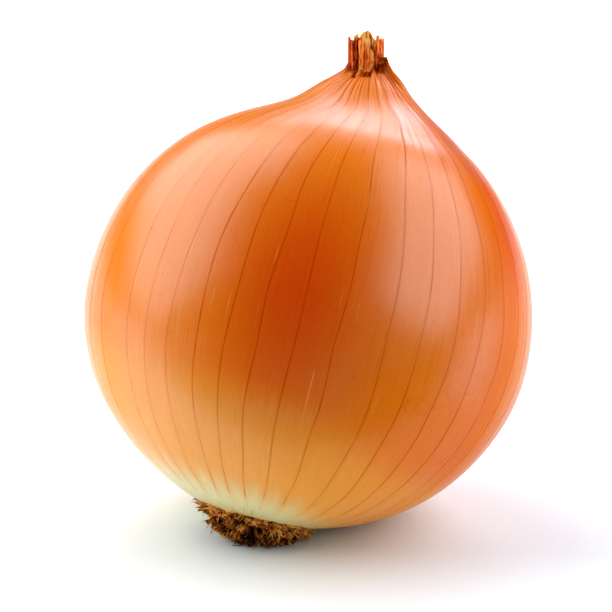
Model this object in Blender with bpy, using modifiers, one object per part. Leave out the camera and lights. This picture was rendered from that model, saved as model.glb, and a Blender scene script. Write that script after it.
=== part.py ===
"""Onion: a bulb in its dry skin, with a dried neck and a tuft of dried roots.

It lies tipped back on the side of its base. Metres, +Z up. The origin is the middle of
the small flat spot that it rests on. The neck leans towards +X and +Y.
"""

import math
import random

import bmesh
import bpy
from mathutils import Matrix, Vector, noise

# Driving dimensions, in metres. Heights are measured along the bulb's own axis.
BULB_RADIUS = 0.0425
EQUATOR_HEIGHT = 0.0400
UPPER_DOME = 0.0423  # half height of the ellipse above the equator
LOWER_DOME = 0.0396  # half height of the ellipse below the equator
ROOT_RADIUS = 0.0108  # where the skin ends at the root plate
SHOULDER_HEIGHT = 0.0765  # where the dome turns up into the neck
COLLAR_HEIGHT = 0.0893
COLLAR_RADIUS = 0.0050
COLLAR_SLOPE = (-0.75, 1.0)  # (inwards, up) direction of the skin where it meets the collar
GAP = 0.0003  # between pieces that touch on the real onion

# How the bulb lies: it leans to the right and reclines away from the front.
LEAN = math.radians(13.1)
RECLINE = math.radians(18.0)
FLAT_DEPTH = 0.0005  # how deep the resting spot is pressed into the skin

# The bulb is a little lopsided: (height, sideways offset of its middle).
SPINE = (
    (0.0000, 0.0000),
    (0.0060, 0.0013),
    (0.0200, 0.0010),
    (0.0420, 0.0011),
    (0.0600, 0.0015),
    (0.0700, 0.0020),
    (0.0770, 0.0031),
    (0.0802, 0.0036),
    (0.0835, 0.0028),
    (0.0870, 0.0022),
    (0.0893, 0.0019),
)

AROUND = 72  # steps round the bulb
DOME_STEPS = 15  # steps on each dome
NECK_STEPS = 8

# The neck stands upright on the collar.
NECK_OFFSET = -0.0003
NECK_TILT = -LEAN
NECK_SINK = 0.0012  # the neck starts this far down, and is trimmed to the collar's slope
CORE_RADIUS = 0.0019
CORE_HEIGHT = 0.0052
LEAF_THICKNESS = 0.0005
LEAF_RADIUS = 0.0032
LEAF_REACH = math.radians(15)  # a leaf end spans twice this round the core
# The dried leaf ends: (bearing in degrees, height).
LEAVES = (
    (-150, 0.0050),
    (-110, 0.0044),
    (-70, 0.0040),
    (-28, 0.0052),
    (20, 0.0046),
    (65, 0.0055),
    (112, 0.0051),
    (160, 0.0047),
)

PLATE_THICKNESS = 0.0012
MAT_DEPTH = 0.0042
MAT_RADIUS = 0.0100
MAT_LUMP = 0.0009
# The side of the mat of roots: (share of its radius, share of its depth).
MAT_PROFILE = ((0.0, 0.0), (1.0, 0.0), (0.98, 0.18), (0.88, 0.45), (0.70, 0.72), (0.46, 0.93))


def clear_scene():
    """Removes the objects that Blender starts with."""
    for obj in list(bpy.data.objects):
        bpy.data.objects.remove(obj)


def new_collection(name):
    """A collection in the scene."""
    collection = bpy.data.collections.new(name)
    bpy.context.scene.collection.children.link(collection)
    return collection


def material(name, colour, roughness):
    """A plain Principled material."""
    made = bpy.data.materials.new(name)
    made.use_nodes = True
    shader = made.node_tree.nodes["Principled BSDF"]
    shader.inputs["Base Color"].default_value = (*colour, 1)
    shader.inputs["Roughness"].default_value = roughness
    shader.inputs["Metallic"].default_value = 0
    made.diffuse_color = (*colour, 1)
    return made


def smooth_through(knots, at):
    """The value at a place on a smooth curve through (place, value) knots."""
    last = len(knots) - 1
    at = min(max(at, knots[0][0]), knots[-1][0])
    i = max(k for k in range(last) if knots[k][0] <= at)

    def slope(k):
        before, after = knots[max(k - 1, 0)], knots[min(k + 1, last)]
        return (after[1] - before[1]) / (after[0] - before[0])

    (x0, y0), (x1, y1) = knots[i], knots[i + 1]
    span = x1 - x0
    t = (at - x0) / span
    return (
        (2 * t**3 - 3 * t**2 + 1) * y0
        + (t**3 - 2 * t**2 + t) * span * slope(i)
        + (3 * t**2 - 2 * t**3) * y1
        + (t**3 - t**2) * span * slope(i + 1)
    )


def dome_point(angle):
    """(radius, height) of the bulb's side, at an angle above or below the equator."""
    dome = UPPER_DOME if angle > 0 else LOWER_DOME
    return BULB_RADIUS * math.cos(angle), EQUATOR_HEIGHT + dome * math.sin(angle)


def neck_points(steps):
    """(radius, height) points that sweep up from the shoulder to the collar."""
    angle = math.asin((SHOULDER_HEIGHT - EQUATOR_HEIGHT) / UPPER_DOME)
    radius, height = dome_point(angle)
    run = Vector((-BULB_RADIUS * math.sin(angle), UPPER_DOME * math.cos(angle)))
    start = Vector((radius, height))
    end = Vector((COLLAR_RADIUS, COLLAR_HEIGHT))
    reach = (end - start).length / 3
    near = start + run.normalized() * reach
    far = end - Vector(COLLAR_SLOPE).normalized() * reach
    for i in range(1, steps + 1):
        t = i / steps
        point = (
            start * (1 - t) ** 3
            + near * 3 * t * (1 - t) ** 2
            + far * 3 * t**2 * (1 - t)
            + end * t**3
        )
        yield point.x, point.y


def bulb_outline():
    """(radius, height) from the collar down to the root plate, on the axis at both ends."""
    shoulder = math.asin((SHOULDER_HEIGHT - EQUATOR_HEIGHT) / UPPER_DOME)
    root = -math.acos(ROOT_RADIUS / BULB_RADIUS)
    above = [shoulder * i / DOME_STEPS for i in range(DOME_STEPS, 0, -1)]
    below = [root * i / DOME_STEPS for i in range(DOME_STEPS + 1)]
    outline = [(0.0, COLLAR_HEIGHT)]
    outline += reversed(list(neck_points(NECK_STEPS)))
    outline += [dome_point(angle) for angle in above + below]
    outline.append((0.0, outline[-1][1]))
    return outline


def link(obj, collection, look):
    """Puts an object in its collection and gives it its material."""
    collection.objects.link(obj)
    obj.data.materials.append(look)
    obj.data.shade_smooth()
    obj.data.set_sharp_from_angle(angle=math.radians(50))
    return obj


def turned(name, outline, steps):
    """A solid turned about +Z from (radius, height) points, top to bottom."""
    mesh = bpy.data.meshes.new(name + "_outline")
    edges = [(i, i + 1) for i in range(len(outline) - 1)]
    mesh.from_pydata([(radius, 0, height) for radius, height in outline], edges, [])
    spun = bpy.data.objects.new(name + "_outline", mesh)
    bpy.context.scene.collection.objects.link(spun)
    screw = spun.modifiers.new("turn", "SCREW")
    screw.steps = steps
    screw.render_steps = steps
    screw.use_merge_vertices = True
    screw.merge_threshold = 0.00001
    graph = bpy.context.evaluated_depsgraph_get()
    solid = bpy.data.meshes.new_from_object(spun.evaluated_get(graph))
    solid.name = name
    bpy.data.objects.remove(spun)
    return bpy.data.objects.new(name, solid)


def make_bulb():
    """The bulb with its skin, up to the collar where the dried neck comes out."""
    bulb = turned("bulb", bulb_outline(), AROUND)
    for vertex in bulb.data.vertices:
        vertex.co.x += smooth_through(SPINE, vertex.co.z)
    return bulb


def make_root_plate():
    """The corky disc that the roots grow from."""
    top = dome_point(-math.acos(ROOT_RADIUS / BULB_RADIUS))[1] - GAP
    bottom = top - PLATE_THICKNESS
    edge = 0.25 * PLATE_THICKNESS
    outline = [
        (0.0, top),
        (ROOT_RADIUS - edge, top),
        (ROOT_RADIUS, top - edge),
        (ROOT_RADIUS - edge, bottom),
        (0.0, bottom),
    ]
    plate = turned("root_plate", outline, 48)
    return plate, bottom


def make_root_mat(top):
    """The matted stubs of the dried roots, as one lumpy solid under the plate."""
    outline = [(MAT_RADIUS * out, top - MAT_DEPTH * down) for out, down in MAT_PROFILE]
    outline.append((0.0, top - MAT_DEPTH))
    mat = turned("root_mat", outline, 40)
    for vertex in mat.data.vertices:
        if vertex.co.z > top - 0.0001:
            continue
        lump = noise.noise(vertex.co * 260) + 0.5 * noise.noise(vertex.co * 610)
        vertex.co += MAT_LUMP * lump * Vector((vertex.co.x, vertex.co.y, -0.006)).normalized()
    return mat


def make_neck_core():
    """The pale pith of the innermost leaves, cut off at the top."""
    outline = [
        (0.0, CORE_HEIGHT),
        (0.55 * CORE_RADIUS, CORE_HEIGHT),
        (0.9 * CORE_RADIUS, 0.88 * CORE_HEIGHT),
        (CORE_RADIUS, 0.5 * CORE_HEIGHT),
        (CORE_RADIUS, -NECK_SINK),
        (0.0, -NECK_SINK),
    ]
    return turned("neck_core", outline, 20)


def make_leaf(name, bearing, height, chance):
    """One dried leaf end: a thin curled strip with a slanting torn tip."""
    across, up = 4, 4
    work = bmesh.new()
    slant = chance.uniform(-0.18, 0.18)
    rows = []
    for j in range(up + 1):
        row = []
        for i in range(across + 1):
            side = 2 * i / across - 1
            angle = bearing + LEAF_REACH * side * (1 - 0.25 * j / up)
            z = height * j / up * (1 + slant * side * j / up) - NECK_SINK * (1 - j / up)
            radius = LEAF_RADIUS + 0.0004 * math.sin(math.pi * j / up)
            row.append(work.verts.new((radius * math.cos(angle), radius * math.sin(angle), z)))
        rows.append(row)
    for below, above in zip(rows, rows[1:]):
        for i in range(across):
            work.faces.new((below[i], below[i + 1], above[i + 1], above[i]))
    mesh = bpy.data.meshes.new(name)
    work.to_mesh(mesh)
    work.free()
    leaf = bpy.data.objects.new(name, mesh)
    shell = leaf.modifiers.new("thickness", "SOLIDIFY")
    shell.thickness = LEAF_THICKNESS
    shell.offset = 0
    return leaf


def make_slab(name, width, place, collection):
    """A cutter: a square slab whose top face is the XY plane of its place."""
    bpy.ops.mesh.primitive_cube_add(size=width)
    slab = bpy.context.object
    slab.name = name
    slab.data.transform(Matrix.Translation((0, 0, -width / 2)))
    slab.matrix_world = place
    for owner in list(slab.users_collection):
        owner.objects.unlink(slab)
    collection.objects.link(slab)
    slab.hide_render = True
    slab.display_type = "WIRE"
    return slab


def trim(obj, slab):
    """Takes off what would reach below the top of a slab."""
    cut = obj.modifiers.new("trimmed_by_" + slab.name, "BOOLEAN")
    cut.operation = "DIFFERENCE"
    cut.solver = "EXACT"
    cut.object = slab


def lay_down(bulb):
    """The matrix that tips the bulb over and stands its lowest point on the origin."""
    tip = Matrix.Rotation(-RECLINE, 4, "X") @ Matrix.Rotation(LEAN, 4, "Y")
    lowest = min((tip @ vertex.co for vertex in bulb.data.vertices), key=lambda p: p.z)
    return Matrix.Translation((-lowest.x, -lowest.y, -lowest.z - FLAT_DEPTH)) @ tip


def main():
    clear_scene()
    onion = new_collection("onion")
    cutters = new_collection("cutters")
    skin = material("skin", (0.78, 0.30, 0.06), 0.35)
    dry_leaf = material("dry_leaf", (0.55, 0.20, 0.06), 0.75)
    pith = material("pith", (0.72, 0.62, 0.34), 0.8)
    cork = material("cork", (0.42, 0.27, 0.13), 0.9)
    root = material("root", (0.26, 0.15, 0.06), 0.95)

    bulb = link(make_bulb(), onion, skin)
    laid = lay_down(bulb)
    plate, plate_bottom = make_root_plate()
    link(plate, onion, cork)
    mat = link(make_root_mat(plate_bottom - GAP), onion, root)

    floor = make_slab("floor", 0.2, Matrix.Identity(4), cutters)
    for obj in (bulb, plate, mat):
        obj.matrix_world = laid
        trim(obj, floor)

    foot = smooth_through(SPINE, COLLAR_HEIGHT) + NECK_OFFSET
    seat = laid @ Matrix.Translation((foot, 0, COLLAR_HEIGHT + GAP))
    collar = make_slab("collar", 0.02, seat, cutters)
    chance = random.Random(5)
    neck = [link(make_neck_core(), onion, pith)]
    for number, (bearing, height) in enumerate(LEAVES, 1):
        leaf = make_leaf(f"neck_leaf_{number}", math.radians(bearing), height, chance)
        neck.append(link(leaf, onion, dry_leaf))
    for obj in neck:
        obj.matrix_world = seat @ Matrix.Rotation(NECK_TILT, 4, "Y")
        trim(obj, collar)


main()
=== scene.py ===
"""The looks of the onion: veined skin, torn dry neck and matted roots, on a pale floor in soft light."""

import math
import random

import bpy
import numpy as np
from mathutils import Matrix, Vector, noise


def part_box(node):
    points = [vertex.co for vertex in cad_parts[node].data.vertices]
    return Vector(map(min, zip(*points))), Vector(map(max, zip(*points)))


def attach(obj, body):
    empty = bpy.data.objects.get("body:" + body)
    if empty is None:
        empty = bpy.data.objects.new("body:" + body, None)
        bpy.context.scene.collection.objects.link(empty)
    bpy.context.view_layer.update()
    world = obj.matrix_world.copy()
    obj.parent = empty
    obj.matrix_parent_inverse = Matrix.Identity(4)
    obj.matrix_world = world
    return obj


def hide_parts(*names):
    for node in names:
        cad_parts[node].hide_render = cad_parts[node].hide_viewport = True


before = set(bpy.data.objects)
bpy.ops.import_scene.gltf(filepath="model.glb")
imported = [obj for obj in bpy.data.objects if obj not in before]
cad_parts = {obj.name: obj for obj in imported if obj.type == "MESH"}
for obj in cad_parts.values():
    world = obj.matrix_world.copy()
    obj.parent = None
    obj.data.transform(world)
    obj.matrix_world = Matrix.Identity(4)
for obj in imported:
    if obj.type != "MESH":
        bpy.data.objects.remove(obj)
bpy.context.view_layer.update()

# The bulb as it was built, in metres along its own axis.
BULB_RADIUS = 0.0425
EQUATOR_HEIGHT = 0.0400
UPPER_DOME = 0.0423
LOWER_DOME = 0.0396
ROOT_RADIUS = 0.0108
SHOULDER_HEIGHT = 0.0765
COLLAR_HEIGHT = 0.0893
COLLAR_RADIUS = 0.0050
COLLAR_SLOPE = (-0.75, 1.0)
GAP = 0.0003
SPINE = (
    (0.0000, 0.0000),
    (0.0060, 0.0013),
    (0.0200, 0.0010),
    (0.0420, 0.0011),
    (0.0600, 0.0015),
    (0.0700, 0.0020),
    (0.0770, 0.0031),
    (0.0802, 0.0036),
    (0.0835, 0.0028),
    (0.0870, 0.0022),
    (0.0893, 0.0019),
)
LEAN = math.radians(13.1)
RECLINE = math.radians(18.0)
NECK_OFFSET = -0.0003
STUB_SHIFT = -0.00055  # from the neck's middle at the collar to the middle of the ring of leaf ends
PLATE_THICKNESS = 0.0012
MAT_DEPTH = 0.0042
MAT_RADIUS = 0.0100
MAT_SHARE = 0.82  # how much of the mat of roots is one matted lump; the rest is loose ends
MAT_PROFILE = ((0.0, 0.0), (1.0, 0.0), (0.98, 0.18), (0.88, 0.45), (0.70, 0.72), (0.46, 0.93), (0.0, 1.0))

# Bearings of the veins that face the front, in degrees from straight ahead, and the usual step between the
# others.
FRONT_VEINS = (-63, -50, -43, -35, -26.5, -19, -11, -2, 8, 20, 29, 38.5, 47, 56.5, 64.5)
VEIN_STEP = 8.7
VEIN_EDGES = (0.00010, 0.00021, 0.00045)  # columns of the skin on each side of a vein
VEIN_SHARES = (0.07, 0.14, 0.24)  # the most of the way to the next vein that those columns take
BETWEEN = 4  # columns in the middle, between two veins

# Metres along the bulb's side from one row of the skin to the next.
ROW_GAP = 0.00036
WIDER_GAP = 0.00100  # as much more over the middle of the bulb
CLOSER_GAP = 0.00020  # as much less at the collar

# The torn top edge of the skin, in metres above the collar at each bearing, in degrees round from +X.
# -90 faces the front.
LIP_WIDTH = 0.0008  # how much narrower the skin gets above the collar
LIP_HEIGHT = 0.0038
LIP_TOP = (
    (-180, -0.0007),
    (-140, -0.0007),
    (-100, -0.0006),
    (-60, 0.0003),
    (-25, 0.0019),
    (5, 0.0028),
    (50, 0.0012),
    (120, 0.0002),
    (180, -0.0007),
)
# Where the skin starts to turn into ridges and hollows, painted dark as shade, in the same way.
TEAR_TOP = (
    (-180, -0.0016),
    (-150, -0.0021),
    (-125, -0.0028),
    (-108, -0.0029),
    (-88, -0.0020),
    (-60, -0.0012),
    (-30, 0.0001),
    (0, 0.0017),
    (60, 0.0006),
    (180, -0.0016),
)
TEAR_FADE = 0.0016
# How far in the torn edge leans, in the same way.
PINCH = ((-180, 0.0012), (-90, 0.0009), (0, 0.0019), (90, 0.0009), (180, 0.0012))
PINCH_HEIGHT = 0.0045
SKIN_THICKNESS = 0.00022
TEAR_DEPTH = 0.00030
LIP_ROWS = 6  # rows of the skin down the inside of the lip
LIP_FOOT = 0.0012  # how far below the collar they reach


def smooth_through(knots, at):
    """Values at places on a smooth curve through (place, value) knots."""
    place = np.array([knot[0] for knot in knots])
    value = np.array([knot[1] for knot in knots])
    before = np.r_[0, np.arange(len(knots) - 1)]
    after = np.r_[np.arange(1, len(knots)), len(knots) - 1]
    slope = (value[after] - value[before]) / (place[after] - place[before])
    at = np.clip(at, place[0], place[-1])
    i = np.clip(np.searchsorted(place, at, side="right") - 1, 0, len(knots) - 2)
    span = place[i + 1] - place[i]
    t = (at - place[i]) / span
    return (
        (2 * t**3 - 3 * t**2 + 1) * value[i]
        + (t**3 - 2 * t**2 + t) * span * slope[i]
        + (3 * t**2 - 2 * t**3) * value[i + 1]
        + (t**3 - t**2) * span * slope[i + 1]
    )


def ease(low, high, at):
    """0 below low, 1 above high, and smooth between."""
    t = np.clip((at - low) / (high - low), 0, 1)
    return t * t * (3 - 2 * t)


def window(at, start, full, fall, end):
    """1 from full to fall, 0 before start and after end, and smooth between."""
    return ease(start, full, at) * (1 - ease(fall, end, at))


def dome_points(angles):
    """(radius, height) rows of the bulb's side at angles above or below the equator."""
    dome = np.where(angles > 0, UPPER_DOME, LOWER_DOME)
    return np.stack([BULB_RADIUS * np.cos(angles), EQUATOR_HEIGHT + dome * np.sin(angles)], 1)


def neck_points(steps):
    """(radius, height) rows that sweep up from the shoulder to the collar."""
    angle = math.asin((SHOULDER_HEIGHT - EQUATOR_HEIGHT) / UPPER_DOME)
    start = dome_points(np.array([angle]))[0]
    run = np.array((-BULB_RADIUS * math.sin(angle), UPPER_DOME * math.cos(angle)))
    end = np.array((COLLAR_RADIUS, COLLAR_HEIGHT))
    reach = np.linalg.norm(end - start) / 3
    near = start + run / np.linalg.norm(run) * reach
    far = end - np.array(COLLAR_SLOPE) / np.linalg.norm(COLLAR_SLOPE) * reach
    t = np.linspace(0, 1, steps + 1)[1:, None]
    return start * (1 - t) ** 3 + near * 3 * t * (1 - t) ** 2 + far * 3 * t**2 * (1 - t) + end * t**3


def lip_points(steps):
    """(radius, height) rows where the skin goes on above the collar, hugging the neck."""
    t = np.linspace(0, 1, steps + 1)[1:]
    return np.stack([COLLAR_RADIUS - LIP_WIDTH * (2 * t - t * t), COLLAR_HEIGHT + LIP_HEIGHT * t], 1)


def bulb_side():
    """Finely spaced (radius, height) points from the root plate up to the top of the lip."""
    shoulder = math.asin((SHOULDER_HEIGHT - EQUATOR_HEIGHT) / UPPER_DOME)
    root = -math.acos(ROOT_RADIUS / BULB_RADIUS)
    return np.concatenate([dome_points(np.linspace(root, shoulder, 500)), neck_points(160), lip_points(60)])


def spaced_rows(side):
    """Where the rows of the skin lie, closest together at the collar.

    Gives the length along the side to each of its points, to the collar, and to each row.
    """
    steps = np.linalg.norm(np.diff(side, axis=0), axis=1)
    length = np.r_[0, np.cumsum(steps)]
    collar = np.interp(COLLAR_HEIGHT, side[:, 1], length)
    gap = ROW_GAP + WIDER_GAP * window(length, 0.002, 0.018, collar - 0.034, collar - 0.014)
    gap -= CLOSER_GAP * ease(collar - 0.008, collar - 0.005, length)
    count = np.r_[0, np.cumsum(steps / gap[1:])]
    last = np.interp(collar, length, count)
    return length, collar, np.interp(np.linspace(0, last, int(last)), count, length)


def round_the_bulb(knots, azimuth):
    """Values at azimuths in radians, on a smooth curve through (degrees, value) knots from -180 to 180."""
    return smooth_through(knots, (np.degrees(azimuth) + 180) % 360 - 180)


def vein_bearings(chance):
    """The bearing of each vein, in radians from +X, in order round the bulb."""
    degrees = list(FRONT_VEINS)
    steps = round((360 + degrees[0] - degrees[-1]) / VEIN_STEP)
    even = (360 + degrees[0] - degrees[-1]) / steps
    degrees += [FRONT_VEINS[-1] + even * (k + chance.uniform(-0.28, 0.28)) for k in range(1, steps)]
    return np.radians(np.array(degrees) - 90)


def wander(chance, along, waves):
    """A smooth random curve over the way up, between about -1 and 1."""
    total = np.zeros_like(along)
    for wave in waves:
        size = chance.uniform(0.4, 1)
        pace = chance.uniform(0.7, 1.3)
        total += size * np.sin(along * wave * pace + chance.uniform(0, math.tau))
    return total / len(waves)


def lay_matrix():
    """Tips the bulb over, without moving it."""
    return Matrix.Rotation(-RECLINE, 4, "X") @ Matrix.Rotation(LEAN, 4, "Y")


def turn(points, matrix):
    """Points moved by a 4 by 4 matrix."""
    held = np.array(matrix)
    return points @ held[:3, :3].T + held[:3, 3]


def place_in_frame():
    """The matrix that puts the bulb's own axis where the CAD bulb lies."""
    side = bulb_side()
    side = side[side[:, 1] <= COLLAR_HEIGHT]
    angle = np.radians(np.arange(0, 360, 1.0))
    x = side[:, 0, None] * np.cos(angle) + smooth_through(SPINE, side[:, 1])[:, None]
    y = side[:, 0, None] * np.sin(angle)
    z = np.repeat(side[:, 1, None], len(angle), 1)
    rings = np.stack([x, y, z], -1)
    tipped = turn(rings.reshape(-1, 3), lay_matrix())
    low, high = (np.array(corner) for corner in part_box("bulb"))
    centre = (low + high) / 2 - (tipped.min(0) + tipped.max(0)) / 2
    return Matrix.Translation((centre[0], centre[1], high[2] - tipped[:, 2].max())) @ lay_matrix()


LAID = place_in_frame()
FLOOR = 0.00002  # nothing of the onion reaches lower


def noise_at(points, scale, octaves=1):
    """Smooth noise at each point."""
    found = np.zeros(len(points))
    for octave in range(octaves):
        size = scale * 2**octave
        found += np.array([noise.noise(Vector(point)) for point in points * size]) / 2**octave
    return found


def add_attribute(mesh, name, values):
    """Stores a number or a vector for each point of the mesh, for its material to read."""
    kind = "FLOAT" if values.ndim == 1 else "FLOAT_VECTOR"
    layer = mesh.attributes.new(name, kind, "POINT")
    layer.data.foreach_set("value" if values.ndim == 1 else "vector", values.astype(np.float32).ravel())


def grid_faces(rows, columns, closed):
    """Quads over a grid of points numbered row by row, closed round if asked."""
    i = np.arange(columns if closed else columns - 1)
    right = (i + 1) % columns
    low = np.arange(rows - 1)[:, None] * columns
    high = low + columns
    quads = np.stack([low + i, low + right, high + right, high + i], -1)
    return quads.reshape(-1, 4).tolist()


def tube_faces(rows, columns):
    """Faces of a tube of points, with each end closed by a fan. The two ends' middles are numbered last."""
    last = rows * columns
    top = last - columns
    faces = grid_faces(rows, columns, True)
    faces += [[(i + 1) % columns, i, last] for i in range(columns)]
    faces += [[top + i, top + (i + 1) % columns, last + 1] for i in range(columns)]
    return faces


def make_piece(name, mesh, look, node):
    """Links a piece, gives it its material, hangs it on the root body, and hides the CAD part that it stands
    for.
    """
    piece = bpy.data.objects.new(name, mesh)
    bpy.context.scene.collection.objects.link(piece)
    mesh.materials.append(look)
    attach(piece, "root")
    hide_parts(node)
    return piece


# ---------------------------------------------------------------- materials


class Look:
    """A procedural material under construction."""

    def __init__(self, name):
        self.material = bpy.data.materials.new(name)
        self.material.use_nodes = True
        self.tree = self.material.node_tree
        self.shader = self.tree.nodes["Principled BSDF"]

    def node(self, kind, inputs=None, **settings):
        """Adds a node, with its inputs fed and its settings made."""
        made = self.tree.nodes.new("ShaderNode" + kind)
        for key, value in settings.items():
            setattr(made, key, value)
        for key, value in (inputs or {}).items():
            self.feed(made.inputs[key], value)
        return made

    def feed(self, socket, value):
        """Links another node's output to an input, or sets the input to a colour or a number."""
        if isinstance(value, bpy.types.NodeSocket):
            self.tree.links.new(value, socket)
        elif isinstance(value, tuple) and socket.type == "RGBA":
            socket.default_value = (*value, 1)
        else:
            socket.default_value = value

    def attribute(self, name, output="Fac"):
        """What the mesh stores under this name."""
        return self.node("Attribute", attribute_name=name).outputs[output]

    def maths(self, operation, a, b=0.0, clamp=False):
        return self.node("Math", {0: a, 1: b}, operation=operation, use_clamp=clamp).outputs[0]

    def between(self, value, low, high, to_low=0.0, to_high=1.0):
        """Goes smoothly from to_low to to_high as the value goes from low to high."""
        inputs = {"Value": value, "From Min": low, "From Max": high, "To Min": to_low, "To Max": to_high}
        return self.node("MapRange", inputs, interpolation_type="SMOOTHSTEP").outputs["Result"]

    def blend(self, factor, a, b, mode="MIX"):
        made = self.node("Mix", data_type="RGBA", blend_type=mode)
        for socket, value in ((made.inputs["Factor"], factor), (made.inputs[6], a), (made.inputs[7], b)):
            self.feed(socket, value)
        return made.outputs[2]

    def stretched(self, vector, scale):
        return self.node("Mapping", {"Vector": vector, "Scale": scale}).outputs["Vector"]

    def noise(self, vector, scale, detail=3.0, roughness=0.5):
        inputs = {"Vector": vector, "Scale": scale, "Detail": detail, "Roughness": roughness}
        return self.node("TexNoise", inputs).outputs["Fac"]

    def place(self):
        return self.node("TexCoord").outputs["Object"]

    def bump(self, height, distance):
        return self.node("Bump", {"Height": height, "Distance": distance, "Strength": 1.0}).outputs["Normal"]

    def finish(self, **inputs):
        """Feeds the shader, and gives the material."""
        for key, value in inputs.items():
            self.feed(self.shader.inputs[key.replace("_", " ")], value)
        return self.material


# Colours of the skin, in linear light.
ORANGE = (0.76, 0.195, 0.003)
DEEP_ORANGE_AND_SHADE = (0.60, 0.043, 0.001)
CLOUDY_ORANGE = (0.73, 0.115, 0.002)
TAN = (0.80, 0.318, 0.025)
PALE_ROOT_END = (0.73, 0.65, 0.30)
NECK_ORANGE = (0.72, 0.165, 0.004)
THIN_LINE = (0.26, 0.022, 0.001)
VEIN = (0.34, 0.016, 0.0005)
PALE_VEIN = (0.44, 0.10, 0.006)
SCRATCH = (0.86, 0.46, 0.13)
CROSS_VEIN = (0.42, 0.030, 0.0008)
DARK_UNDER_AND_SHADE = (0.15, 0.008, 0.0005)
LIGHT_UNDER_AND_SHADE = (0.52, 0.080, 0.003)


def skin_look():
    """Thin glossy skin: fine fibres up and down, darker veins, paler at the roots, torn at the neck, with
    shade painted into its orange and its torn layer.
    """
    look = Look("onion_skin")
    grain = look.attribute("grain", "Vector")
    up = look.attribute("up")
    vein = look.attribute("vein")
    place = look.place()
    fibre = look.noise(look.stretched(grain, (210.0, 210.0, 20.0)), 1.0, 4.0, 0.65)
    streak = look.noise(look.stretched(grain, (34.0, 34.0, 3.0)), 1.0, 3.0, 0.55)
    cloud = look.noise(place, 38.0, 3.0, 0.5)
    wobble = look.node("TexNoise", {"Vector": place, "Scale": 90.0, "Detail": 1.5}).outputs["Color"]
    warped = look.blend(0.012, place, wobble)

    # The deep orange is partly painted shade: in the stripe down the front, and on the right side.
    orange = look.blend(look.attribute("deep"), ORANGE, DEEP_ORANGE_AND_SHADE)
    orange = look.blend(look.between(cloud, 0.35, 0.65, 0.0, 0.15), orange, CLOUDY_ORANGE)
    streaky = look.maths("MULTIPLY", look.maths("SUBTRACT", streak, 0.5), 0.05)
    height = look.maths("ADD", up, streaky)
    sudden = look.between(height, 0.355, 0.245, 0.0, 0.7)
    gradual = look.between(height, 0.26, 0.12, 0.0, 0.3)
    tan = look.blend(look.maths("ADD", sudden, gradual), orange, TAN)
    root_end = look.blend(look.between(height, 0.160, 0.055), tan, PALE_ROOT_END)
    neck_end = look.blend(look.between(height, 0.88, 0.97), root_end, NECK_ORANGE)

    # Thin lines between the veins: where a stretched noise crosses its middle value.
    ripple = look.noise(look.stretched(grain, (16.0, 16.0, 1.0)), 1.0, 2.0, 0.5)
    away = look.maths("ABSOLUTE", look.maths("SUBTRACT", ripple, 0.5))
    line = look.between(away, 0.0, look.between(height, 0.70, 0.96, 0.010, 0.026), 1.0, 0.0)
    line = look.maths("MULTIPLY", line, look.between(height, 0.66, 0.90, 0.04, 0.58))
    lined = look.blend(line, neck_end, THIN_LINE)
    vein_colour = look.blend(look.between(height, 0.30, 0.14), VEIN, PALE_VEIN)
    veined = look.blend(look.maths("MULTIPLY", vein, 0.90), lined, vein_colour)
    scratch = look.between(look.noise(look.stretched(grain, (125.0, 125.0, 5.0)), 1.0, 1.0), 0.70, 0.76)
    few = look.between(look.noise(place, 90.0, 2.0), 0.50, 0.60, 0.0, 0.42)
    scratched = look.blend(look.maths("MULTIPLY", scratch, few), veined, SCRATCH)

    # Thin veins that cross between the others, in some patches: the borders of cells.
    cells = look.node("TexVoronoi", {"Vector": warped, "Scale": 96.0}, feature="DISTANCE_TO_EDGE")
    border = look.between(cells.outputs["Distance"], 0.008, 0.001)
    patchy = look.between(look.noise(place, 60.0, 2.0), 0.44, 0.56, 0.0, 0.30)
    patchy = look.maths("MULTIPLY", patchy, look.between(height, 0.26, 0.36))
    crossed = look.blend(look.maths("MULTIPLY", border, patchy), scratched, CROSS_VEIN)

    # The layer that shows where the outer one is torn off, painted dark as the shade in the creases round the
    # neck.
    under = look.blend(look.between(streak, 0.35, 0.65), DARK_UNDER_AND_SHADE, LIGHT_UNDER_AND_SHADE)
    torn = look.attribute("torn")
    bare = look.blend(torn, crossed, under)
    shade = look.between(fibre, 0.25, 0.75, 0.95, 1.05)
    grey = look.node("CombineColor", {0: shade, 1: shade, 2: shade}).outputs[0]
    colour = look.blend(1.0, bare, grey, "MULTIPLY")

    rough = look.between(streak, 0.3, 0.7, 0.24, 0.31)
    rough = look.maths("ADD", rough, look.between(fibre, 0.3, 0.7, 0.0, 0.04))
    rough = look.maths("ADD", rough, look.maths("MULTIPLY", torn, 0.4))
    matt = look.maths("MULTIPLY", vein, 0.75)
    matt = look.maths("ADD", matt, look.maths("MULTIPLY", look.attribute("dull"), 0.6))
    matt = look.maths("ADD", matt, look.maths("MULTIPLY", line, 0.7))
    matt = look.maths("ADD", matt, look.maths("MULTIPLY", torn, 0.85), clamp=True)
    shine = look.between(matt, 0.0, 1.0, 0.5, 0.0)
    fine = look.bump(fibre, 0.000015)
    return look.finish(Base_Color=colour, Roughness=rough, Normal=fine, IOR=1.56, Specular_IOR_Level=shine)


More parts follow.
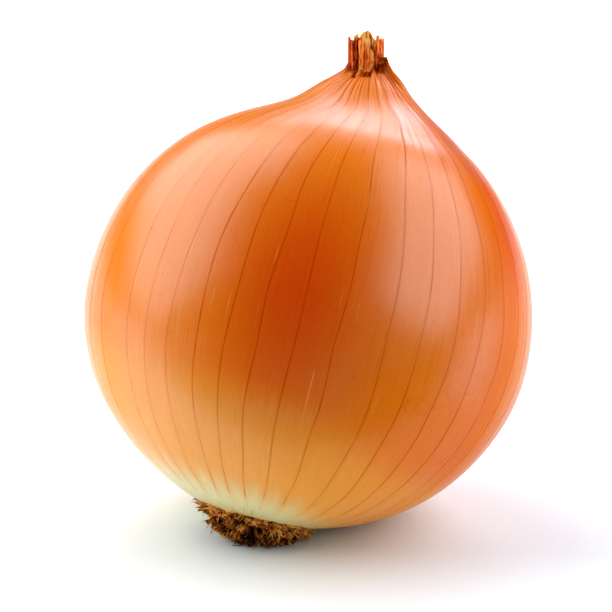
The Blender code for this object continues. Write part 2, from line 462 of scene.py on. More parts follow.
def dry_look(name, dark, middle, light):
    """Dried leaf or root: fibrous, with strands from dark to light."""
    look = Look(name)
    strand = look.attribute("strand", "Vector")
    tone = look.attribute("tone")
    fibre = look.noise(look.stretched(strand, (1.0, 1.0, 0.16)), 3400.0, 4.0, 0.6)
    patch = look.noise(look.place(), 420.0, 3.0, 0.55)
    mixed = look.maths("ADD", look.between(fibre, 0.28, 0.72, -0.36, 0.36), tone)
    mixed = look.maths("ADD", mixed, look.between(patch, 0.3, 0.7, -0.2, 0.2), clamp=True)
    lower = look.blend(look.between(mixed, 0.05, 0.5), dark, middle)
    colour = look.blend(look.between(mixed, 0.5, 0.95), lower, light)
    rough = look.between(fibre, 0.3, 0.7, 0.85, 0.6)
    normal = look.bump(fibre, 0.00012)
    return look.finish(Base_Color=colour, Roughness=rough, Normal=normal, Specular_IOR_Level=0.1)


# ---------------------------------------------------------------- the skin


def from_the_front(azimuth):
    """Degrees from straight ahead, up to the right, for azimuths in radians from +X."""
    return (np.degrees(azimuth) + 270) % 360 - 180


def skin_columns(radius, along, chance):
    """Where the columns of the skin run.

    Gives each point's azimuth, how much of a vein it is and its share of the way to the next vein, and how
    deep each column's hollow between two veins is.
    """
    veins = vein_bearings(chance)
    count = len(veins)
    sway = np.stack([wander(chance, along * math.tau, (1.0, 2.3, 5.0)) for _ in range(count)], 1)
    limit = np.radians(0.9) * ease(0, 0.15, along) * (1 - 0.5 * ease(0.8, 1, along))
    bearing = veins + sway * limit[:, None]
    onward = np.concatenate([bearing[:, 1:], bearing[:, :1] + math.tau], 1)
    width = onward - bearing
    edges = []
    for edge, most in zip(VEIN_EDGES, VEIN_SHARES):
        edges.append(np.minimum(edge / radius[:, None], most * width))
    offsets = [0 * width, *edges]
    for k in range(1, BETWEEN + 1):
        offsets.append(edges[-1] + (width - 2 * edges[-1]) * k / (BETWEEN + 1))
    offsets += [width - edge for edge in reversed(edges)]
    dark = np.array((1.0, 0.6, 0.0, 0.0) + (0.0,) * BETWEEN + (0.0, 0.0, 0.6))
    azimuth = np.stack([bearing + offset for offset in offsets], -1)
    share = np.stack([offset / width for offset in offsets], -1)

    ends = np.array([chance.uniform(0.060, 0.110) for _ in range(count)])
    bold = np.array([chance.uniform(0.65, 1.0) for _ in range(count)])
    fade = ease(0, 0.015, along[:, None] - ends) * bold
    # Each vein is darkest just above its lower end.
    fade += 0.4 * bold * np.exp(-(((along[:, None] - ends - 0.013) / 0.009) ** 2))
    fade *= 0.75 + 0.25 * np.stack([wander(chance, along * 40, (1.0, 2.0)) for _ in range(count)], 1)
    hollow = np.array([chance.uniform(0.3, 1.0) for _ in range(count)])
    shape = (len(along), -1)
    return (
        azimuth.reshape(shape),
        (fade[..., None] * dark).reshape(shape),
        share.reshape(shape),
        np.repeat(hollow, len(dark)),
    )


def ragged(azimuth, waves, seed):
    """Jagged noise round the bulb, between about -1 and 1, with a longer and a shorter tooth."""
    ring = np.stack([np.cos(azimuth), np.sin(azimuth), np.full_like(azimuth, seed)], -1).reshape(-1, 3)
    long_teeth = noise_at(ring * (waves, waves, 1), 1.0)
    short_teeth = noise_at(ring * (3.1 * waves, 3.1 * waves, 1), 1.0)
    return (long_teeth + 0.6 * short_teeth).reshape(azimuth.shape)


def skin_reach(at, collar, length, side, azimuth):
    """How far along the bulb's side each point is, with the edges at the neck and the root torn."""
    edge = azimuth[-1]
    lip = COLLAR_HEIGHT + round_the_bulb(LIP_TOP, edge) + 0.0005 * ragged(edge, 4.0, 0.3)
    top = np.interp(lip, side[:, 1], length)
    low = collar - 0.004
    stretch = (top - low) / (collar - low)
    reach = np.where(at[:, None] > low, low + (at[:, None] - low) * stretch, at[:, None])
    frayed = 0.0004 + 0.0006 * ragged(azimuth[0], 5.0, 4.7)
    return reach + np.maximum(frayed, 0) * (1 - ease(0, 0.003, at))[:, None]


def skin_tear(reach, length, side, azimuth):
    """1 where the outer layer of skin is torn off near the neck, 0 elsewhere."""
    tear = COLLAR_HEIGHT + round_the_bulb(TEAR_TOP, azimuth) + 0.0007 * ragged(azimuth, 5.0, 8.1)
    return ease(0, TEAR_FADE, reach - np.interp(tear, side[:, 1], length))


def skin_relief(azimuth, along, vein, share, hollow, torn):
    """How far each point stands out from the smooth bulb."""
    flat = np.stack([np.cos(azimuth), np.sin(azimuth), along * 2.6], -1).reshape(-1, 3)
    lumps = noise_at(flat, 1.3, 2).reshape(azimuth.shape)
    pleats = noise_at(flat * (7.0, 7.0, 1.0), 1.0, 2).reshape(azimuth.shape)
    wrinkles = noise_at(flat * (15.0, 15.0, 2.0), 1.0, 2).reshape(azimuth.shape)
    relief = 0.00026 * lumps * ease(0.0, 0.1, along)
    relief -= 0.00003 * hollow * np.sin(math.pi * share) ** 2 * ease(0.05, 0.3, along)
    relief -= 0.000006 * vein
    relief += 0.00016 * pleats * ease(0.88, 0.95, along)
    relief += 0.00050 * pleats * ease(0.955, 0.995, along)
    relief += (0.00007 + 0.00030 * ease(0.955, 0.995, along)) * wrinkles * ease(0.88, 0.93, along)
    relief += 0.00014 * wrinkles * (1 - ease(0.01, 0.10, along))
    relief -= torn * (TEAR_DEPTH - 0.00050 * pleats - 0.00040 * wrinkles)
    return relief


def skin_depth_and_shade(azimuth, along):
    """How deep the orange is: most in a stripe down the front, partly painted shade, and more on the right,
    which is painted shade, except at its edge.
    """
    bearing = from_the_front(azimuth)
    # The stripe is partly the skin's deeper orange and partly painted shade; the deepening on the right and
    # at its upper edge is painted shade, less at the limb.
    stripe = np.exp(-(((bearing + 4) / 20) ** 2)) * np.exp(-(((along - 0.49) / 0.20) ** 2))
    edge = (0.10 + 0.34 * ease(0.50, 0.68, along)) * ease(48, 66, bearing)
    limb = ease(66, 82, bearing + 9 * (1 - ease(0.50, 0.68, along)))
    right = (0.32 * ease(5, 60, bearing) + edge) * (1 - 0.7 * limb) * ease(-0.08, 0.22, along)
    return np.clip(0.95 * stripe + right * (1 - ease(110, 170, bearing)), 0, 1)


def skin_dullness(azimuth, along):
    """How little the skin shines, in patches that keep the softboxes' reflections to the photo's shapes."""
    bearing = from_the_front(azimuth)
    seen = 1 - ease(110, 160, bearing)
    low = ease(-30, 15, bearing) * (1 - ease(0.36, 0.45, along)) * seen
    top_right = bearing + 8 * ease(0.62, 0.72, along)
    rim = 1.4 * ease(42, 62, top_right) - 0.25 * ease(66, 80, bearing)
    rim *= (1 - ease(0.74, 0.80, along)) * seen
    front = 1.3 * np.exp(-(((bearing + 7) / 23) ** 4)) * window(along, 0.27, 0.33, 0.62, 0.72)
    upper = 1.1 * np.exp(-(((bearing + 5) / 16) ** 4)) * window(along, 0.58, 0.68, 0.74, 0.80)
    left = 1.2 * window(bearing, -130, -100, -62, -43) * window(along, 0.14, 0.24, 0.50, 0.66)
    top_left = 0.7 * window(bearing, -130, -100, -62, -50) * window(along, 0.61, 0.69, 0.76, 0.84)
    shoulder = 0.6 * window(bearing, -30, -6, 36, 50) * window(along, 0.74, 0.79, 0.840, 0.885)
    cone = 0.75 * ease(0.900, 0.940, along - 0.015 * ease(0, 25, bearing))
    return np.maximum.reduce([low, rim, front, upper, left, top_left, shoulder, cone])


def add_bake_map(mesh, rows, columns):
    """Unrolls the skin into the OFBake map: across is round the bulb, up is up, the end caps are thin strips.
    """
    margin = 0.02
    across = np.arange(columns)
    left, middle, right = across / columns, (across + 0.5) / columns, (across + 1) / columns
    up = np.arange(rows - 1)[:, None]
    u = np.stack([left, right, right, left], -1)
    v = margin + (1 - 2 * margin) * np.stack([up, up, up + 1, up + 1], -1) / (rows - 1)
    sides = np.stack(np.broadcast_arrays(u[None], v), -1)
    edge = np.full(columns, margin)
    bottom = np.stack([right, edge, left, edge, middle, 0 * edge], -1)
    top = np.stack([left, 1 - edge, right, 1 - edge, middle, 0 * edge + 1], -1)
    corners = np.concatenate([sides.ravel(), bottom.ravel(), top.ravel()])
    mesh.uv_layers.new(name="OFBake").data.foreach_set("uv", corners.astype(np.float32))


def make_skin():
    """The whole skin as one closed mesh, from the root plate up to the torn lip round the neck."""
    chance = random.Random(11)
    side = bulb_side()
    length, collar, at = spaced_rows(side)
    radius = np.interp(at, length, side[:, 0])
    azimuth, vein, share, hollow = skin_columns(radius, at / collar, chance)
    reach = skin_reach(at, collar, length, side, azimuth)
    torn = skin_tear(reach, length, side, azimuth)
    along = reach / collar
    relief = skin_relief(azimuth, along, vein, share, hollow, torn)
    radius = np.interp(reach, length, side[:, 0])
    height = np.interp(reach, length, side[:, 1])
    radius -= round_the_bulb(PINCH, azimuth) * ease(height[-1] - PINCH_HEIGHT, height[-1], height)
    run = np.stack([np.gradient(radius, axis=0), np.gradient(height, axis=0)])
    run /= np.linalg.norm(run, axis=0)
    radius += relief * run[1]
    height -= relief * run[0]

    # The inside of the lip goes back down, so that the torn edge has two sides.
    drop = np.linspace(0.2, 1, LIP_ROWS)[:, None]
    radius = np.vstack([radius, radius[-1] - SKIN_THICKNESS * (1 + drop)])
    height = np.vstack([height, height[-1] + drop * (COLLAR_HEIGHT - LIP_FOOT - height[-1])])
    grids = (azimuth, vein, torn, along, share)
    azimuth, vein, torn, along, share = (
        np.vstack([grid, np.repeat(grid[-1:], LIP_ROWS, 0)]) for grid in grids
    )
    # The inside of the lip gets the torn layer's painted shade.
    torn[-LIP_ROWS:] = 1

    rows, columns = azimuth.shape
    x = radius * np.cos(azimuth) + smooth_through(SPINE, height)
    y = radius * np.sin(azimuth)
    ends = [[smooth_through(SPINE, height[row].mean()), 0, height[row].mean()] for row in (0, -1)]
    points = np.vstack([np.stack([x, y, height], -1).reshape(-1, 3), ends])
    points = turn(points, LAID)
    points[:, 2] = np.maximum(points[:, 2], FLOOR)
    mesh = bpy.data.meshes.new("onion_skin")
    mesh.from_pydata(points.tolist(), [], tube_faces(rows, columns))

    grain = np.stack([np.cos(azimuth), np.sin(azimuth), along], -1)
    # The orange reaches lower on the right, and lower along the veins than between them.
    shifted = along + (0.040 + 0.040 * ease(0.14, 0.28, along)) * np.cos(azimuth) * (1 - along)
    shifted += 0.040 * ease(0.1, 0.7, np.cos(azimuth)) * (1 - along)
    shifted += 0.022 * (1 - np.sin(math.pi * share)) * (1 - ease(0.12, 0.3, along))
    add_attribute(mesh, "grain", np.vstack([grain.reshape(-1, 3), [[0, 0, 0], [0, 0, 1]]]))
    for name, values in (
        ("up", shifted),
        ("vein", vein),
        ("torn", torn),
        # Deep orange, partly painted shade.
        ("deep", skin_depth_and_shade(azimuth, along)),
        ("dull", skin_dullness(azimuth, along)),
    ):
        add_attribute(mesh, name, np.r_[values.ravel(), values[0, 0], values[-1, 0]])
    add_bake_map(mesh, rows, columns)
    mesh.shade_smooth()
    return make_piece("onion_skin", mesh, skin_look(), "bulb")


# ---------------------------------------------------------------- small dry things: leaf ends, pith, roots


class Heap:
    """Many small closed shapes, gathered into one mesh."""

    def __init__(self):
        self.points, self.faces, self.strand, self.tone = [], [], [], []
        self.count = 0

    def add(self, points, faces, strand, tone):
        """Adds points and faces numbered from 0, with each point's place along the fibres and lightness."""
        self.points.append(points)
        self.faces += [[corner + self.count for corner in face] for face in faces]
        self.strand.append(strand)
        self.tone.append(tone)
        self.count += len(points)

    def piece(self, name, look, slot, node, matrix):
        """Makes a piece of the heap, moved by a matrix and kept above the floor."""
        points = turn(np.concatenate(self.points), matrix)
        points[:, 2] = np.maximum(points[:, 2], FLOOR)
        mesh = bpy.data.meshes.new(name)
        mesh.from_pydata(points.tolist(), [], self.faces)
        add_attribute(mesh, "strand", np.concatenate(self.strand))
        add_attribute(mesh, "tone", np.concatenate(self.tone))
        return make_piece(name, mesh, look, node)


def unit(vectors):
    """Vectors of length 1."""
    return vectors / np.linalg.norm(vectors, axis=-1, keepdims=True)


def thicken(grid, thickness):
    """A closed sheet round a grid of points, as points and faces."""
    rows, columns = grid.shape[:2]
    normal = unit(np.cross(np.gradient(grid, axis=1), np.gradient(grid, axis=0)))
    half = normal * thickness / 2
    points = np.concatenate([(grid + half).reshape(-1, 3), (grid - half).reshape(-1, 3)])
    back = rows * columns
    faces = grid_faces(rows, columns, False)
    faces += [[corner + back for corner in reversed(face)] for face in faces]
    number = np.arange(back).reshape(rows, columns)
    edge = [*number[0], *number[1:, -1], *number[-1, -2::-1], *number[-2:0:-1, 0]]
    faces += [[b, a, a + back, b + back] for a, b in zip(edge, edge[1:] + edge[:1])]
    return points, faces


def sprouts(heap, feet, headings, lengths, widths, tones, profile, dice, bend=0.5, flat=0.7, sides=6):
    """Adds small bent stubs to a heap, one for each foot.

    The profile's rows are (share of the length, share of the width, lighter by, raggedness).
    """
    count = len(feet)
    headings = unit(headings)
    across = unit(np.cross(headings, dice.normal(size=(count, 3))))
    beside = np.cross(headings, across)
    bends = across * dice.normal(size=(count, 1)) * bend
    angle = np.arange(sides) * math.tau / sides
    u, v = np.cos(angle), flat * np.sin(angle)
    outward = u[:, None] * across[:, None] + v[:, None] * beside[:, None]
    rings, strands, lights = [], [], []
    for along, wide, light, ragged_by in profile:
        reach = lengths[:, None] * (along + ragged_by * dice.uniform(-1, 1, (count, sides)))
        sideways = bends * lengths[:, None] * along**2
        middle = feet[:, None] + headings[:, None] * reach[..., None] + sideways[:, None]
        spread = widths[:, None] * wide
        rings.append(middle + spread[..., None] * outward)
        strands.append(np.stack([spread * u, spread * v, reach], -1))
        lights.append(np.repeat(tones[:, None] + light, sides, 1))
    ends = [ring.mean(1, keepdims=True) for ring in (rings[0], rings[-1])]
    points = np.concatenate([*rings, *ends], 1)
    per = points.shape[1]
    strand = np.concatenate([*strands, strands[0][:, :1], strands[-1][:, :1]], 1)
    strand = (strand + dice.uniform(0, 0.05, (count, 1, 3))).reshape(-1, 3)
    tone = np.concatenate([*lights, lights[0][:, :1], lights[-1][:, :1]], 1).ravel()
    faces = tube_faces(len(profile), sides)
    every = [[corner + per * n for corner in face] for n in range(count) for face in faces]
    heap.add(points.reshape(-1, 3), every, strand, np.clip(tone, 0, 1))


# Profiles of the stubs: rows of (share of the length, share of the width, lighter by, raggedness).
# Each stub is darker at its foot and inside a hollow end, as painted shade, and lighter towards its tip.
SLIVER = (
    (0.0, 0.8, -0.45, 0.0),
    (0.3, 1.0, -0.2, 0.0),
    (0.6, 0.75, 0.05, 0.03),
    (0.85, 0.4, 0.22, 0.02),
    (1.0, 0.08, 0.32, 0.0),
)
STUB = (
    (0.0, 0.9, -0.5, 0.0),
    (0.35, 1.0, -0.3, 0.0),
    (0.7, 0.95, 0.0, 0.06),
    (0.95, 0.85, 0.3, 0.12),
    (1.0, 0.4, 0.1, 0.06),
)
HOLLOW = (
    (0.0, 0.85, -0.4, 0.0),
    (0.5, 0.92, -0.1, 0.0),
    (0.95, 1.05, 0.25, 0.14),
    (0.93, 0.78, 0.2, 0.14),
    (0.5, 0.62, -0.6, 0.0),
    (0.35, 0.30, -0.9, 0.0),
)


# ---------------------------------------------------------------- the neck

MM = 0.001

# The dried leaf ends, in the order of their nodes. Each is one or two sheets: bearing and half width in
# degrees; radius, heights of the tip at its two sides, foot, and flare of the foot, in millimetres; and how
# light it is.
# The two inner sheets at the front, at -133 and -50, are nearly black: painted shade in the hollows between
# the strips.
LEAF_SHEETS = (
    ((-152, 29, 3.75, 4.9, 5.3, -1.3, 0.3, 0.11),),
    ((-133, 19, 2.75, 4.8, 5.0, -2.2, 0.0, 0.06), (-141, 9, 3.05, 2.9, 3.9, -2.0, 0.0, 0.24)),
    ((-91, 24, 3.45, 4.9, 2.3, -2.6, 2.3, 0.72), (-108, 8, 3.75, 4.6, 5.0, -2.8, 2.2, 0.80)),
    ((-34, 26, 3.25, 5.4, 4.6, 1.5, -0.3, 0.54), (-50, 30, 2.45, 2.4, 2.8, -2.4, 0.0, 0.02)),
    ((14, 22, 3.15, 4.6, 3.9, -1.2, 0.2, 0.48),),
    ((58, 25, 3.25, 4.1, 4.9, -1.2, 0.1, 0.50), (40, 16, 2.7, 5.1, 4.7, -1.0, 0.0, 0.30)),
    ((108, 24, 3.4, 5.0, 4.3, -1.2, 0.1, 0.45), (128, 18, 2.7, 4.3, 4.9, -1.0, 0.0, 0.28)),
    ((156, 21, 3.6, 3.9, 4.5, -1.4, 0.2, 0.40),),
)
FLAP_TAPER = 0.24  # how much narrower a strip is at its foot, for each millimetre that the foot flares
SHEET_ROWS = 46
SHEET_STEP = 0.085  # millimetres between the columns of a sheet
SHEET_NOISES = ((0.55, 0.16, 0.0), (2.3, 0.20, 7.0), (6.0, 0.30, 13.0))  # waves across and up, and an offset
PITH_SHEETS = (
    (184, 34, 2.3, 5.2, 6.0, -1.0, 0.0, 0.72),
    (-100, 34, 1.9, 5.2, 4.7, -1.0, 0.0, 0.86),
    (-20, 30, 1.9, 3.9, 4.7, -1.0, 0.0, 0.74),
    (75, 40, 2.1, 5.1, 4.7, -1.0, 0.0, 0.65),
)
PITH_RADIUS = 0.0014
PITH_FOOT = -0.001
PITH_TOP = ((-0.0015, 0.0055), (-0.0006, 0.0060), (0.0003, 0.0064), (0.0010, 0.0056), (0.0016, 0.0043))


def neck_seat():
    """The matrix of the neck's own frame: upright in the picture plane, on the collar."""
    foot = smooth_through(SPINE, COLLAR_HEIGHT) + NECK_OFFSET + STUB_SHIFT
    return LAID @ Matrix.Translation((foot, 0, COLLAR_HEIGHT + GAP)) @ Matrix.Rotation(-LEAN, 4, "Y")


def add_sheet(heap, sheet, seed, thickness=0.00016, rough=1.0):
    """Adds one dried strip: fibrous and crinkled, with a torn tip."""
    bearing, half, radius, left, right, foot, flare, tone = sheet
    half = math.radians(half)
    columns = max(12, round(half * radius * 2 / SHEET_STEP))
    s, t = np.meshgrid(np.linspace(-1, 1, columns), np.linspace(0, 1, SHEET_ROWS))
    at = s * half * radius
    fields = []
    for across, up, offset in SHEET_NOISES:
        place = np.stack([at * across, t * 6 * up, np.full_like(at, seed * 3.7 + offset)], -1)
        fields.append(noise_at(place.reshape(-1, 3), 1.0).reshape(at.shape))
    crinkle, fibre, thread = fields
    teeth = 0.75 * fibre[-1] + 0.55 * thread[-1] - 0.9 * np.maximum(0, crinkle[-1])
    tip = left + (right - left) * (s[0] + 1) / 2 + rough * teeth
    z = foot + (tip - foot) * t
    out = radius + 0.42 * crinkle + 0.16 * fibre + 0.07 * thread
    out += flare * (1 - ease(0, 0.30, t)) * (1 + crinkle) - 0.12 * s**2 + 0.12 * (t - 0.5)
    narrower = FLAP_TAPER * flare * (1 - ease(0.0, 0.6, t))
    side = s * (1 - narrower) - 0.8 * narrower
    angle = math.radians(bearing) + half * side * (1 - 0.10 * t + 0.15 * crinkle)
    grid = np.stack([out * np.cos(angle), out * np.sin(angle), z], -1) * MM
    points, faces = thicken(grid, thickness)
    lightness = tone + 0.45 * fibre + 0.5 * thread
    # Lighter towards the torn tip; darker at the foot, as painted shade where the strips crowd into the
    # collar.
    lightness += 0.22 * ease(0.80, 1.0, t) - 0.30 * (1 - ease(0.0, 0.28, t))
    strand = np.stack([at, np.full_like(at, seed), z], -1).reshape(-1, 3) * MM
    heap.add(points, faces, np.tile(strand, (2, 1)), np.clip(np.tile(lightness.ravel(), 2), 0, 1))


def add_shreds(heap, bearing, dice, count=9):
    """Adds torn slivers round the foot of a leaf end."""
    angle = np.radians(bearing + dice.uniform(-24, 24, count))
    ring = np.stack([np.cos(angle), np.sin(angle), 0 * angle], 1)
    feet = ring * dice.uniform(3.0, 3.9, (count, 1)) * MM
    feet[:, 2] = dice.uniform(-1.8, 0.2, count) * MM
    headings = ring * dice.uniform(-0.5, 0.3, (count, 1)) + dice.normal(size=(count, 3)) * 0.25
    headings[:, 2] += dice.uniform(0.1, 1.4, count)
    lengths = dice.uniform(0.5, 1.7, count) * MM
    widths = dice.uniform(0.06, 0.17, count) * MM
    sprouts(heap, feet, headings, lengths, widths, dice.uniform(0.1, 0.75, count), SLIVER, dice, flat=0.35)


def make_leaf_ends():
    """The eight dried leaf ends round the neck."""
    look = dry_look("dry_leaf", (0.16, 0.006, 0.0003), (0.74, 0.100, 0.003), (1.0, 0.34, 0.065))
    seat = neck_seat()
    dice = np.random.default_rng(21)
    seed = 1
    for number, sheets in enumerate(LEAF_SHEETS, 1):
        heap = Heap()
        for sheet in sheets:
            add_sheet(heap, sheet, seed)
            seed += 1
        add_shreds(heap, sheets[0][0], dice)
        heap.piece(f"leaf_end_{number}", look, "dry_leaf", f"neck_leaf_{number}", seat)


def make_pith():
    """The pale pith: a fibrous column with a slanted broken top, in a few thicker sheets."""
    heap = Heap()
    for k, sheet in enumerate(PITH_SHEETS):
        add_sheet(heap, sheet, 40 + k, 0.00035, 0.55)
    around, up, inward = 64, 30, 9
    angle, t = np.meshgrid(np.arange(around) * math.tau / around, np.linspace(0, 1, up))
    shares = np.linspace(1, 0.12, inward)[1:, None] + 0 * angle[:1]
    angle = np.vstack([angle, np.repeat(angle[:1], inward - 1, 0)])
    share = np.vstack([np.ones_like(t), shares])
    t = np.vstack([t, np.ones_like(shares)])
    ring = np.stack([np.cos(angle) * share, np.sin(angle) * share, t * 0.3 + 5], -1).reshape(-1, 3)
    fibre = noise_at(ring * (5.0, 5.0, 1.0), 1.0, 2).reshape(angle.shape)
    bundle = noise_at(ring * (1.7, 1.7, 1.0), 1.0).reshape(angle.shape)
    radius = PITH_RADIUS * share * (1 + 0.10 * fibre + 0.22 * bundle)
    x, y = radius * np.cos(angle), radius * np.sin(angle)
    top = smooth_through(PITH_TOP, x) + 0.0004 * fibre + 0.0005 * bundle - 0.0002 * (1 - share)
    z = PITH_FOOT + (top - PITH_FOOT) * t
    ends = [[0, 0, PITH_FOOT], [0, 0, z[-1].mean()]]
    points = np.vstack([np.stack([x, y, z], -1).reshape(-1, 3), ends])
    tone = np.clip(0.62 + 0.8 * fibre + 0.3 * bundle, 0, 1).ravel()
    heap.add(points, tube_faces(len(angle), around), points, np.r_[tone, 0.5, 0.5])
    look = dry_look("pith", (0.42, 0.07, 0.002), (0.88, 0.36, 0.035), (0.96, 0.66, 0.19))
    heap.piece("pith", look, "pith", "neck_core", neck_seat())


# ---------------------------------------------------------------- the roots


def mat_side(share):
    """(radius, depth) of the mat of roots at a share of the way from its rim to its middle, in metres."""
    knots = np.array(MAT_PROFILE[1:])
    steps = np.linalg.norm(np.diff(knots * (MAT_RADIUS, MAT_DEPTH), axis=0), axis=1)
    place = np.r_[0, np.cumsum(steps)] / steps.sum()
    return np.interp(share, place, knots[:, 0]) * MAT_RADIUS, np.interp(share, place, knots[:, 1]) * MAT_DEPTH


def root_plate_top():
    """Height of the top of the root plate, along the bulb's axis."""
    return EQUATOR_HEIGHT - LOWER_DOME * math.sin(math.acos(ROOT_RADIUS / BULB_RADIUS)) - GAP


def lumpy_round(radius, height, angle, bumps, lump):
    """Points of a turned grid, pushed out and in by noise: points, and the noise."""
    plain = np.stack([radius * np.cos(angle), radius * np.sin(angle), height], -1)
    flat = plain.reshape(-1, 3)
    coarse = noise_at(flat, bumps).reshape(angle.shape)
    fine = noise_at(flat, 2.7 * bumps, 2).reshape(angle.shape)
    push = coarse + 0.7 * fine
    away = unit(plain - np.array([0, 0, root_plate_top() + 0.002]))
    return plain + away * (push * lump)[..., None], push


def add_round(heap, radius, height, bumps, lump, tone, contrast):
    """Adds a lumpy closed shape turned about the axis, from its side's (radius, height) rows."""
    around = 300
    angle = np.repeat(np.arange(around)[None] * math.tau / around, len(radius), 0)
    grid, push = lumpy_round(radius[:, None], np.repeat(height[:, None], around, 1), angle, bumps, lump)
    points = np.vstack([grid.reshape(-1, 3), grid[0].mean(0), grid[-1].mean(0)])
    faces = [face[::-1] for face in tube_faces(len(radius), around)]
    light = np.clip(tone + contrast * push.ravel(), 0, 1)
    heap.add(points, faces, points, np.r_[light, light[0], light[-1]])


def make_root_plate():
    """The corky root plate: a ragged disc with a frill of torn flakes and root ends at its rim."""
    top = root_plate_top()
    heap = Heap()
    dice = np.random.default_rng(31)
    radius = np.array([4.0, 8.5, 10.1, 10.5, 10.7, 10.6, 10.3, 9.9, 9.4, 8.0, 4.0]) * MM
    height = top + np.array([0.3, 0.3, 0.3, 0.2, 0.0, -0.3, -0.6, -0.9, -1.2, -1.3, -1.3]) * MM
    radius, height = (np.interp(np.linspace(0, 10, 41), np.arange(11), values) for values in (radius, height))
    add_round(heap, radius, height, 900.0, 0.00045, 0.42, 0.75)
    # Each kind of flake: how many, length and width in millimetres, how light, how steeply up, and between
    # which radii its foot is.
    kinds = (
        (300, 1.3, 0.42, 0.56, -0.25, (9.6, 10.6)),
        (150, 1.8, 0.20, 0.85, -0.20, (9.8, 10.6)),
        (170, 1.0, 0.55, 0.15, -0.30, (9.4, 10.5)),
        (230, 1.5, 0.44, 0.80, 0.34, (9.9, 11.0)),
    )
    for count, long, wide, light, rise, (near, far) in kinds:
        angle = dice.uniform(0, math.tau, count)
        ring = np.stack([np.cos(angle), np.sin(angle), 0 * angle], 1)
        out = dice.uniform(near, far, count)
        up = dice.uniform(-1.3, 0.35, count) if rise < 0 else 0.10 + 0.25 * (out - 10.0)
        feet = ring * (out + np.minimum(0.7 * up, 0))[:, None] * MM
        feet[:, 2] = top + up * MM
        headings = ring * 0.9 + dice.normal(size=(count, 3)) * (0.5 if rise < 0 else 0.16)
        headings[:, 2] += rise
        lengths = long * dice.uniform(0.5, 1.4, count) * MM
        widths = wide * dice.uniform(0.5, 1.3, count) * MM
        tones = light + dice.uniform(-0.3, 0.3, count) + 0.8 * noise_at(feet, 380.0)
        lengths *= 1 + 0.9 * noise_at(feet, 520.0)
        sprouts(heap, feet, headings, lengths, widths, tones, SLIVER, dice, flat=0.3, sides=5)
    # Two root ends stick out on the left.
    feet = np.array([[-0.0103, -0.0012, top - 0.0002], [-0.0100, -0.0028, top - 0.0004]])
    headings = np.array([[-1.0, -0.1, 0.12], [-1.0, -0.3, -0.15]])
    lengths = np.array([2.6, 1.9]) * MM
    widths = np.array([0.28, 0.22]) * MM
    sprouts(heap, feet, headings, lengths, widths, np.array([0.6, 0.5]), SLIVER, dice, bend=0.1)
    look = dry_look("cork", (0.024, 0.005, 0.001), (0.46, 0.125, 0.006), (0.90, 0.46, 0.11))
    heap.piece("root_plate_cork", look, "cork", "root_plate", LAID)


def make_root_mat():
    """The dried roots: a dark matted lump, partly painted shade among the root ends, broken hollow root ends,
    and loose strands.
    """
    top = root_plate_top() - PLATE_THICKNESS - GAP
    heap = Heap()
    dice = np.random.default_rng(47)
    share = np.linspace(0, 0.97, 56)
    radius, depth = mat_side(share)
    # The lump's low tone makes it nearly black, partly painted shade among the root ends.
    add_round(heap, MAT_SHARE * radius, top + 0.0004 - MAT_SHARE * depth, 420.0, 0.00120, 0.05, 0.50)
    # Each kind of root: how many, length and width in millimetres, how light, its profile, how bent, and how
    # far it leans outwards.
    kinds = (
        (150, 1.0, 0.62, 0.46, HOLLOW, 0.15, 0.8),
        (220, 1.2, 0.46, 0.33, STUB, 0.25, 0.8),
        (190, 1.4, 0.36, 0.54, SLIVER, 0.6, 0.5),
        (260, 1.0, 0.30, 0.05, SLIVER, 0.5, 0.8),
        (70, 2.1, 0.19, 1.00, STUB, 0.50, 0.25),
    )
    for count, long, wide, light, profile, bend, outward in kinds:
        angle = dice.uniform(0, math.tau, count)
        radius, depth = mat_side(dice.uniform(0, 1, count) ** 1.25)
        ring = np.stack([np.cos(angle), np.sin(angle), 0 * angle], 1)
        feet = ring * MAT_SHARE * radius[:, None]
        feet[:, 2] = top + 0.0003 - MAT_SHARE * depth
        headings = ring * outward * (radius / MAT_RADIUS)[:, None] + dice.normal(size=(count, 3)) * 0.50
        headings[:, 2] -= 0.9
        lengths = long * dice.uniform(0.5, 1.35, count) * MM
        widths = wide * dice.uniform(0.6, 1.4, count) * MM
        tones = light + dice.uniform(-0.3, 0.3, count) + 0.9 * noise_at(feet, 380.0)
        # Roots whose feet sit deeper in the mat are darker: painted shade under the onion.
        tones -= 0.32 * depth / MAT_DEPTH
        lengths *= 1 + 0.9 * noise_at(feet, 520.0)
        sprouts(heap, feet, headings, lengths, widths, tones, profile, dice, bend, 0.5, 5)
    look = dry_look("root", (0.006, 0.001, 0.0005), (0.35, 0.090, 0.004), (0.80, 0.36, 0.05))
    heap.piece("dried_roots", look, "root", "root_mat", LAID)


# ---------------------------------------------------------------- light, floor, camera

VIEW_ELEVATION = math.radians(18)
VIEW_DISTANCE = 0.60
LENS = 186.0
AIM_SHIFT = (-0.0005, -0.0012)  # from the middle of the bulb, to the right and up in the picture


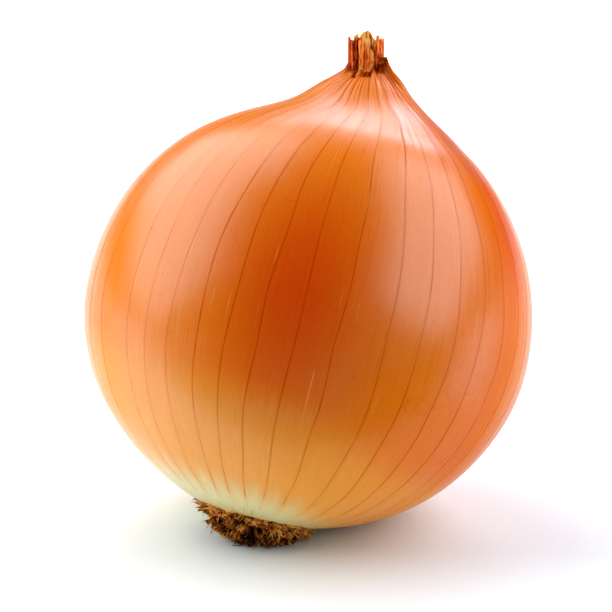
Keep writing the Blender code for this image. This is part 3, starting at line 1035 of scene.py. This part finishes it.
def softbox(name, bearing, elevation, distance, width, height, radiance, roll=0.0, colour=(1, 1, 1)):
    """A soft rectangular lamp that faces the bulb from a bearing, in degrees: 0 in front, 90 on the right."""
    low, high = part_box("bulb")
    centre = (low + high) / 2
    bearing, elevation = math.radians(bearing), math.radians(elevation)
    level = math.cos(elevation)
    towards = Vector((math.sin(bearing) * level, -math.cos(bearing) * level, math.sin(elevation)))
    data = bpy.data.lights.new(name, "AREA")
    data.shape = "RECTANGLE"
    data.size = width
    data.size_y = height
    data.energy = radiance * math.pi * width * height
    data.color = colour
    lamp = bpy.data.objects.new(name, data)
    bpy.context.scene.collection.objects.link(lamp)
    aim = (-towards).to_track_quat("-Z", "Y").to_matrix().to_4x4()
    rolled = Matrix.Rotation(math.radians(roll), 4, "Z")
    lamp.matrix_world = Matrix.Translation(centre + towards * distance) @ aim @ rolled
    lamp.visible_camera = False
    return lamp


def make_lights():
    """Two large side softboxes, two small ones behind, a low card, and three fills with no reflection."""
    softbox("left_softbox", -108, 42, 0.42, 0.77, 0.50, 3.2, -20)
    softbox("right_softbox", 88, 34, 0.40, 0.67, 0.32, 3.3, 21)
    softbox("back_softbox", 160, 33, 0.60, 0.26, 0.15, 8.6, 42, (0.96, 0.96, 1.12))
    softbox("far_softbox", 179, 35, 0.60, 0.18, 0.13, 4.4, 10, (0.96, 0.96, 1.12))
    softbox("low_card", -66, -12, 0.45, 0.40, 0.24, 0.6)
    fills = (
        ("front_fill", 8, 4, 0.4),
        ("low_fill", -15, -26, 1.7),
        ("left_fill", -110, 0, 0.1),
    )
    for name, bearing, elevation, radiance in fills:
        fill = softbox(name, bearing, elevation, 1.2, 1.5, 0.9, radiance)
        fill.visible_glossy = False


def make_room():
    """A white surround that only the camera sees."""
    world = bpy.data.worlds.new("white_room")
    bpy.context.scene.world = world
    world.use_nodes = True
    tree = world.node_tree
    seen = tree.nodes.new("ShaderNodeLightPath").outputs["Is Camera Ray"]
    tree.links.new(seen, tree.nodes["Background"].inputs["Strength"])
    tree.nodes["Background"].inputs["Color"].default_value = (1.1, 1.1, 1.1, 1)


def make_floor():
    """A plain pale table top, with its front edge close to the onion. It glows where it fades to white."""
    mesh = bpy.data.meshes.new("floor")
    left, right, front, back = -1.5, 1.5, -0.061, 2.5
    corners = [(left, front, 0), (right, front, 0), (right, back, 0), (left, back, 0)]
    mesh.from_pydata(corners, [], [(0, 1, 2, 3)])
    floor = bpy.data.objects.new("floor", mesh)
    bpy.context.scene.collection.objects.link(floor)
    look = Look("pale_floor")
    place = look.node("SeparateXYZ", {0: look.place()}).outputs
    in_front = look.between(place["Y"], -0.018, -0.052, 0.0, 0.20)
    on_the_left = look.between(place["X"], -0.030, -0.070, 0.0, 0.40)
    on_the_right = look.between(place["X"], 0.015, 0.080, 0.0, 0.09)
    distance = look.node("VectorMath", {0: look.place()}, operation="LENGTH").outputs["Value"]
    far_away = look.between(distance, 0.20, 0.45, 0.0, 0.9)
    beside = look.maths("ADD", on_the_left, on_the_right)
    glow = look.maths("ADD", look.maths("ADD", in_front, beside), far_away)
    look.finish(Base_Color=(0.82, 0.90, 0.96), Roughness=0.8)
    mesh.materials.append(look.finish(Emission_Color=(0.95, 1.0, 1.0), Emission_Strength=glow))


def make_camera():
    """A long lens in front of the bulb and a little above it, as in the photo."""
    low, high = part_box("bulb")
    up = Vector((0, math.sin(VIEW_ELEVATION), math.cos(VIEW_ELEVATION)))
    back = Vector((0, -math.cos(VIEW_ELEVATION), math.sin(VIEW_ELEVATION)))
    aim = (low + high) / 2 + Vector((1, 0, 0)) * AIM_SHIFT[0] + up * AIM_SHIFT[1]
    camera = bpy.data.objects.new("camera", bpy.data.cameras.new("camera"))
    bpy.context.scene.collection.objects.link(camera)
    camera.data.lens = LENS
    camera.data.clip_start, camera.data.clip_end = 0.01, 20
    camera.location = aim + back * VIEW_DISTANCE
    camera.rotation_euler = (math.pi / 2 - VIEW_ELEVATION, 0, 0)
    bpy.context.scene.camera = camera


bpy.context.scene.view_settings.view_transform = "Standard"
make_camera()
make_lights()
make_room()
make_floor()
make_skin()
make_leaf_ends()
make_pith()
make_root_plate()
make_root_mat()
